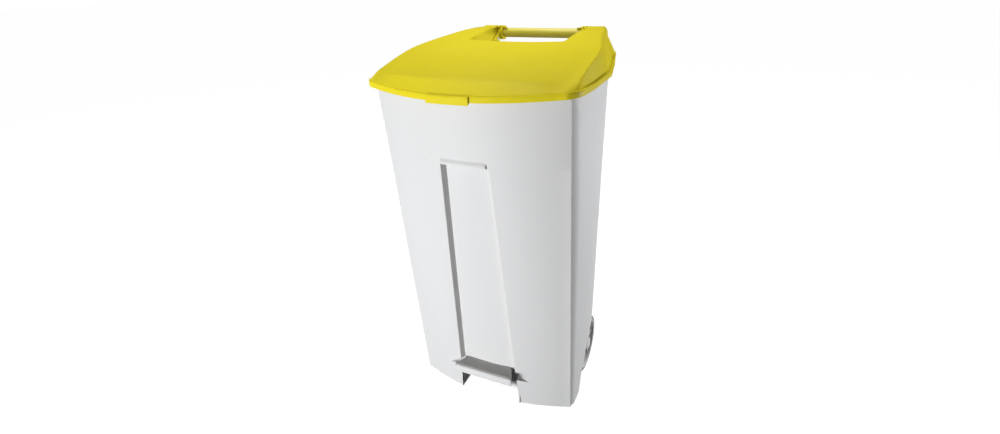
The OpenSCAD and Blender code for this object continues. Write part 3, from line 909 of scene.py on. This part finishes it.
def build_rim(side, word):
    """Disc of a wheel, with its hub, its rim and six spokes."""
    t0, middle, t1 = WHEEL_X
    x0 = disc_low[0]
    profile = [
        (x0, 6.2), (x0, 18), (x0 + 1.5, 20), (middle - 3, 21.5), (middle - 3, RIM_R - 8),
        (t0 + 1.5, RIM_R - 5.5), (t0, RIM_R - 5), (t0, RIM_R - 0.1), (t1, RIM_R - 0.1), (t1, RIM_R - 5),
        (t1 - 1.5, RIM_R - 5.5), (middle + 3, RIM_R - 8), (middle + 3, 21.5),
        (t1 - 1, 20), (t1, 18.5), (t1, 6.2),
    ]
    disc = lathe("disc", on_side(side, profile), AXLE_Y, AXLE_Z)
    parts = [settle(bevel(disc, 0.9, angle=28), 30)]
    spoke = [(17, -2), (RIM_R - 4, -1.6), (RIM_R - 4, 1.6), (17, 2)]
    for k in range(6):
        c, s = math.cos(k * math.pi / 3), math.sin(k * math.pi / 3)
        points = [(y * c - z * s + AXLE_Y, y * s + z * c + AXLE_Z) for y, z in spoke]
        for low, high in ((t0 + 5, middle), (middle, t1 - 5)):
            parts.append(settle(bevel(prism("spoke", points, side * low, side * high), 0.7)))
    return joined("wheel_rim_" + word, parts)


def build_tyre(side, word):
    """Tyre with round shoulders and three grooves."""
    t0, middle, t1 = WHEEL_X
    shoulder = [
        (t0, RIM_R), (t0, WHEEL_R - 4.5), (t0 + 0.4, WHEEL_R - 2.6), (t0 + 1.5, WHEEL_R - 1),
        (t0 + 3.4, WHEEL_R - 0.2), (t0 + 5, WHEEL_R),
    ]
    groove = [(-1.6, 0), (-1, 1.6), (1, 1.6), (1.6, 0)]
    grooves = [(x + dx, WHEEL_R - depth) for x in (middle - 7, middle, middle + 7) for dx, depth in groove]
    other = [(t0 + t1 - x, r) for x, r in shoulder[::-1]]
    profile = on_side(side, shoulder + grooves + other)
    return settle(lathe("wheel_tyre_" + word, profile, AXLE_Y, AXLE_Z, 96), 28)


def build_cap(side, word):
    """Domed hub cap."""
    x0, x1 = cap_low[0], cap_high[0]
    r = (cap_high[2] - cap_low[2]) / 2
    angles = np.linspace(np.pi / 2, 0.02, 9)
    dome = [(x1 - (1 - math.cos(a)) * 3.5, r * math.sin(a)) for a in angles]
    profile = [(x0 + 4, 0.3), (x0 + 4, 8.5), (x0, 8.8), (x0, r), (x1 - 3.6, r), *dome]
    return settle(lathe("wheel_cap_" + word, on_side(side, profile), AXLE_Y, AXLE_Z), 40)


# ---- Materials ----


DUST = (0.42, 0.40, 0.36)


class Nodes:
    """Short hand for building a material's node tree."""

    def __init__(self, name):
        self.material = bpy.data.materials.new(name)
        self.material.use_nodes = True
        self.tree = self.material.node_tree
        self.tree.nodes.clear()

    def add(self, kind, **values):
        """A node with its settings; a key is one of the node's own values or the name of an input."""
        node = self.tree.nodes.new("ShaderNode" + kind)
        for key, value in values.items():
            if hasattr(node, key):
                setattr(node, key, value)
            else:
                node.inputs[key].default_value = value
        return node

    def link(self, source, out, target, into):
        self.tree.links.new(source.outputs[out], target.inputs[into])

    def noise(self, source, out, scale, detail=3, roughness=0.5):
        """Noise over the coordinates that an output gives."""
        node = self.add("TexNoise", Scale=scale, Detail=detail, Roughness=roughness)
        self.link(source, out, node, "Vector")
        return node

    def ramp(self, source, out, stops):
        """Colour ramp from (position, colour) stops."""
        node = self.add("ValToRGB")
        elements = node.color_ramp.elements
        for i, (position, colour) in enumerate(stops):
            element = elements[i] if i < 2 else elements.new(position)
            element.position = position
            element.color = (*colour, 1)
        self.link(source, out, node, "Fac")
        return node

    def blend(self, kind, factor, a, b):
        """Mix of two colours by a fixed factor; each colour is three numbers or a (node, output) pair."""
        node = self.add("Mix", data_type="RGBA", blend_type=kind)
        node.inputs[0].default_value = factor
        for colour, into in ((a, 6), (b, 7)):
            if len(colour) == 3:
                node.inputs[into].default_value = (*colour, 1)
            else:
                self.link(*colour, node, into)
        return node


def grey(v):
    return (v, v, v)


def moulded(name, colour, shade, worn, rough=(0.3, 0.45), grain=1400, grain_depth=0.00006,
            flow=(9, 9, 1.5), metal=0.0, shine=0.5, dusty=False):
    """Moulded plastic, rubber or metal with a slow drift of colour, fine specks and grain.

    The whole surface is blended halfway to the worn colour, and then halfway to dust where dusty is set.
    """
    n = Nodes(name)
    out = n.add("OutputMaterial")
    skin = n.add("BsdfPrincipled", Metallic=metal)
    skin.inputs["Specular IOR Level"].default_value = shine
    n.link(skin, 0, out, 0)
    coords = n.add("TexCoord")
    flowing = n.add("Mapping", Scale=flow)
    n.link(coords, "Object", flowing, "Vector")

    drift = n.noise(flowing, 0, 1.0, 4, 0.55)
    base = n.ramp(drift, 0, [(0.3, shade), (0.7, colour)])
    speck = n.noise(coords, "Object", 260, 2, 0.6)
    specks = n.ramp(speck, 0, [(0.35, grey(0.955)), (0.6, grey(1))])
    tone = n.blend("MULTIPLY", 1.0, (base, 0), (specks, 0))
    tone = n.blend("MIX", 0.5, (tone, 2), worn)
    if dusty:
        tone = n.blend("MIX", 0.5, (tone, 2), DUST)
    n.link(tone, 2, skin, "Base Color")

    gloss = n.noise(coords, "Object", 55, 4, 0.6)
    glosses = n.ramp(gloss, 0, [(0.3, grey(rough[0])), (0.7, grey(rough[1]))])
    n.link(glosses, 0, skin, "Roughness")

    fine = n.noise(coords, "Object", grain, 2, 0.5)
    broad = n.noise(coords, "Object", 42, 3, 0.5)
    wave = n.add("Bump", Distance=0.0004, Strength=0.12)
    n.link(broad, 0, wave, "Height")
    bump = n.add("Bump", Distance=grain_depth, Strength=0.6)
    n.link(fine, 0, bump, "Height")
    n.link(wave, 0, bump, "Normal")
    n.link(bump, 0, skin, "Normal")
    return n.material


white = moulded("white_plastic", (0.845, 0.855, 0.885), (0.79, 0.80, 0.83), rough=(0.5, 0.65), shine=0.2,
                worn=grey(0.62), dusty=True)
yellow = moulded("yellow_plastic", (0.68, 0.555, 0.004), (0.64, 0.52, 0.003), rough=(0.4, 0.5), shine=0.03,
                 worn=(0.60, 0.50, 0.03))
yellow_tube = moulded("yellow_tube", (0.80, 0.68, 0.03), (0.75, 0.63, 0.02), rough=(0.3, 0.4), grain=500,
                      grain_depth=0.00003, flow=(3, 9, 9), shine=0.3, worn=(0.60, 0.54, 0.12))
grey_plastic = moulded("grey_plastic", (0.25, 0.255, 0.265), (0.21, 0.215, 0.225), worn=grey(0.4))
grey_rubber = moulded("grey_rubber", (0.56, 0.565, 0.58), (0.49, 0.495, 0.505), rough=(0.55, 0.75),
                      grain=900, grain_depth=0.00015, worn=(0.60, 0.60, 0.59), dusty=True)
black_plastic = moulded("black_plastic", (0.022, 0.022, 0.024), (0.015, 0.015, 0.016), worn=grey(0.09))
tyre_rubber = moulded("tyre", (0.030, 0.030, 0.031), (0.020, 0.020, 0.021), rough=(0.6, 0.85), grain=700,
                      grain_depth=0.0002, worn=(0.10, 0.095, 0.085), dusty=True)
black_rubber = moulded("black_rubber", (0.020, 0.020, 0.021), (0.014, 0.014, 0.015), rough=(0.6, 0.8),
                       worn=grey(0.07))
zinc = moulded("zinc_screws", (0.62, 0.63, 0.64), (0.50, 0.505, 0.50), rough=(0.22, 0.42), metal=1.0,
               grain=2500, grain_depth=0.00002, worn=(0.35, 0.33, 0.28))
steel = moulded("steel", (0.56, 0.57, 0.58), (0.46, 0.465, 0.47), rough=(0.24, 0.42), metal=1.0,
                flow=(60, 60, 4), grain=1800, grain_depth=0.00002, worn=(0.33, 0.30, 0.26))

by_slot = {
    "white_plastic": white,
    "yellow_plastic": yellow,
    "yellow_tube": yellow_tube,
    "grey_plastic": grey_plastic,
    "black_plastic": black_plastic,
    "tyre": tyre_rubber,
    "grey_rubber": grey_rubber,
    "black_rubber": black_rubber,
    "zinc_screws": zinc,
    "steel": steel,
}


def dress(obj, slot):
    obj.data.materials.clear()
    obj.data.materials.append(by_slot[slot])


def place(obj, name, body, slot, *nodes):
    """Names a new piece, gives it its finish and its body, and hides the CAD nodes that it stands for."""
    obj.name = name
    dress(obj, slot)
    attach(obj, body)
    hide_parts(*nodes)


place(build_body(), "body", "bin", "white_plastic", "body_shell")
place(build_lid(), "lid", "lid", "yellow_plastic", "lid_shell")
place(build_lift(), "lift_rod", "lift", "steel", "lift_frame")
place(build_tread(), "tread", "pedal", "white_plastic", "pedal_tread")
place(build_pad(), "tread_pad", "pedal", "grey_rubber", "pedal_pad")
for side, word in ((-1, "left"), (1, "right")):
    wheel = "wheel_" + word
    place(build_rim(side, word), "rim_" + word, wheel, "white_plastic", "wheel_disc_" + word)
    place(build_tyre(side, word), "rubber_tyre_" + word, wheel, "tyre", "tyre_" + word)
    place(build_cap(side, word), "cap_" + word, wheel, "white_plastic", "hub_cap_" + word)

# the CAD nodes that stay get their finish and softened edges
for sub in frame["record"]["subparts"]:
    node = frame["nodes"][sub["node"]]
    if node.hide_render:
        continue
    dress(node, sub["material_slot"])
    weld = node.modifiers.new("weld", "WELD")
    weld.merge_threshold = 0.01 * MM
    bevel(node, 0.4, angle=40)
    node.data.shade_smooth()
    node.data.set_sharp_from_angle(angle=math.radians(30))


# ---- Studio ----

# metres: half size and middle of the floor's patch under the tub, where the glow is left out: a painted
# shadow that darkens the floor seen under the bin
PAINTED_SHADOW_HALF = (0.12, 0.155)
PAINTED_SHADOW_Y = 0.06
COOL_WHITE = (0.945, 0.965, 1.0)


def seen_white(tree, shader, brightness, share=None):
    """Adds a glow that only the camera sees, so that the studio's white sheds no light on the bin."""
    path = tree.nodes.new("ShaderNodeLightPath")
    glow = tree.nodes.new("ShaderNodeEmission")
    glow.inputs["Strength"].default_value = brightness
    # where share is given, the glow is left out where share is 0: on the floor this paints a shadow under
    # the tub
    if share:
        tree.links.new(share, glow.inputs["Color"])
    dark = tree.nodes.new("ShaderNodeEmission")
    dark.inputs["Strength"].default_value = 0
    pick = tree.nodes.new("ShaderNodeMixShader")
    both = tree.nodes.new("ShaderNodeAddShader")
    tree.links.new(path.outputs["Is Camera Ray"], pick.inputs[0])
    tree.links.new(dark.outputs[0], pick.inputs[1])
    tree.links.new(glow.outputs[0], pick.inputs[2])
    tree.links.new(pick.outputs[0], both.inputs[0])
    tree.links.new(shader.outputs[0], both.inputs[1])
    return both


def outside_painted_shadow(n):
    """Output that is 1 on the open floor and falls to 0 in a painted shadow under the tub, where the floor's
    glow is left out.
    """
    coords = n.add("TexCoord")
    centre = n.add("Mapping")
    centre.inputs["Location"].default_value = (0, -PAINTED_SHADOW_Y, 0)
    n.tree.links.new(coords.outputs["Object"], centre.inputs["Vector"])
    size = n.add("Mapping")
    size.inputs["Scale"].default_value = (1 / PAINTED_SHADOW_HALF[0], 1 / PAINTED_SHADOW_HALF[1], 0)
    n.link(centre, 0, size, "Vector")
    axes = n.add("SeparateXYZ")
    n.link(size, 0, axes, 0)
    sides = []
    for axis in "XY":
        side = n.add("Math", operation="ABSOLUTE")
        n.link(axes, axis, side, 0)
        sides.append(side)
    most = n.add("Math", operation="MAXIMUM")
    for i, side in enumerate(sides):
        n.link(side, 0, most, i)
    outside_shadow = n.add("MapRange", interpolation_type="SMOOTHSTEP")
    outside_shadow.inputs["From Min"].default_value = 0.9
    outside_shadow.inputs["From Max"].default_value = 1.1
    n.link(most, 0, outside_shadow, 0)
    return outside_shadow.outputs[0]


def studio_floor():
    bpy.ops.mesh.primitive_plane_add(size=60)
    floor = bpy.context.object
    floor.name = "studio_floor"
    n = Nodes("floor_white")
    out = n.add("OutputMaterial")
    skin = n.add("BsdfPrincipled")
    skin.inputs["Base Color"].default_value = (0.2, 0.2, 0.2, 1)
    skin.inputs["Roughness"].default_value = 0.95
    skin.inputs["Specular IOR Level"].default_value = 0.0
    # the floor's glow is left out in a patch under the tub: a painted shadow, not one cast by the lamps
    n.link(seen_white(n.tree, skin, 0.97, outside_painted_shadow(n)), 0, out, 0)
    floor.data.materials.append(n.material)


def area_light(name, azimuth, elevation, distance, size, power, aim=(0, 0, 0.45)):
    """Square softbox that looks at aim; azimuth 0 is in front of the bin and 90 on its right."""
    light = bpy.data.lights.new(name, "AREA")
    light.size = size
    light.energy = power
    light.color = COOL_WHITE
    obj = bpy.data.objects.new(name, light)
    obj.visible_camera = False
    a, e = math.radians(azimuth), math.radians(elevation)
    away = Vector((math.sin(a) * math.cos(e), -math.cos(a) * math.cos(e), math.sin(e)))
    obj.location = Vector(aim) + away * distance
    obj.rotation_euler = away.to_track_quat("Z", "Y").to_euler()
    bpy.context.scene.collection.objects.link(obj)


studio_floor()
area_light("key", -19, 1, 3.0, 0.9, 192, aim=(0, 0, 0.02))
area_light("right", 128, 7, 2.6, 0.8, 80, aim=(0, 0, -0.03))
area_light("top", -135, 70, 2.0, 1.5, 38, aim=(0, -0.05, 0.9))
area_light("handle", 0, 62, 0.6, 0.3, 2.0, aim=(0, 0.25, 0.9))
area_light("back", -115, 6, 2.8, 1.2, 34, aim=(0, 0, 0.3))

world = bpy.data.worlds.new("studio")
world.use_nodes = True
ambient = world.node_tree.nodes["Background"]
ambient.inputs[0].default_value = (1, 1, 1, 1)
ambient.inputs[1].default_value = 0.1
world.node_tree.links.new(
    seen_white(world.node_tree, ambient, 0.92).outputs[0], world.node_tree.nodes["World Output"].inputs[0])
bpy.context.scene.world = world
bpy.context.scene.view_settings.view_transform = "Standard"


# ---- Camera ----

AZIMUTH, ELEVATION, ROLL = 25.2, 25.6, -2.1
LENS = 18.8
CAMERA_AT = (0.49644, -1.10532, 1.04703)


def set_camera():
    az, el, roll = (math.radians(v) for v in (AZIMUTH, ELEVATION, ROLL))
    back = Vector((math.sin(az) * math.cos(el), -math.cos(az) * math.cos(el), math.sin(el)))
    right = Vector((math.cos(az), math.sin(az), 0))
    up = back.cross(right)
    x = right * math.cos(roll) + up * math.sin(roll)
    y = up * math.cos(roll) - right * math.sin(roll)
    camera = bpy.data.cameras.new("camera")
    camera.lens = LENS
    camera.sensor_width = 36
    obj = bpy.data.objects.new("camera", camera)
    turn = Matrix((x, y, back)).transposed().to_4x4()
    obj.matrix_world = Matrix.Translation(CAMERA_AT) @ turn
    bpy.context.scene.collection.objects.link(obj)
    bpy.context.scene.camera = obj


set_camera()
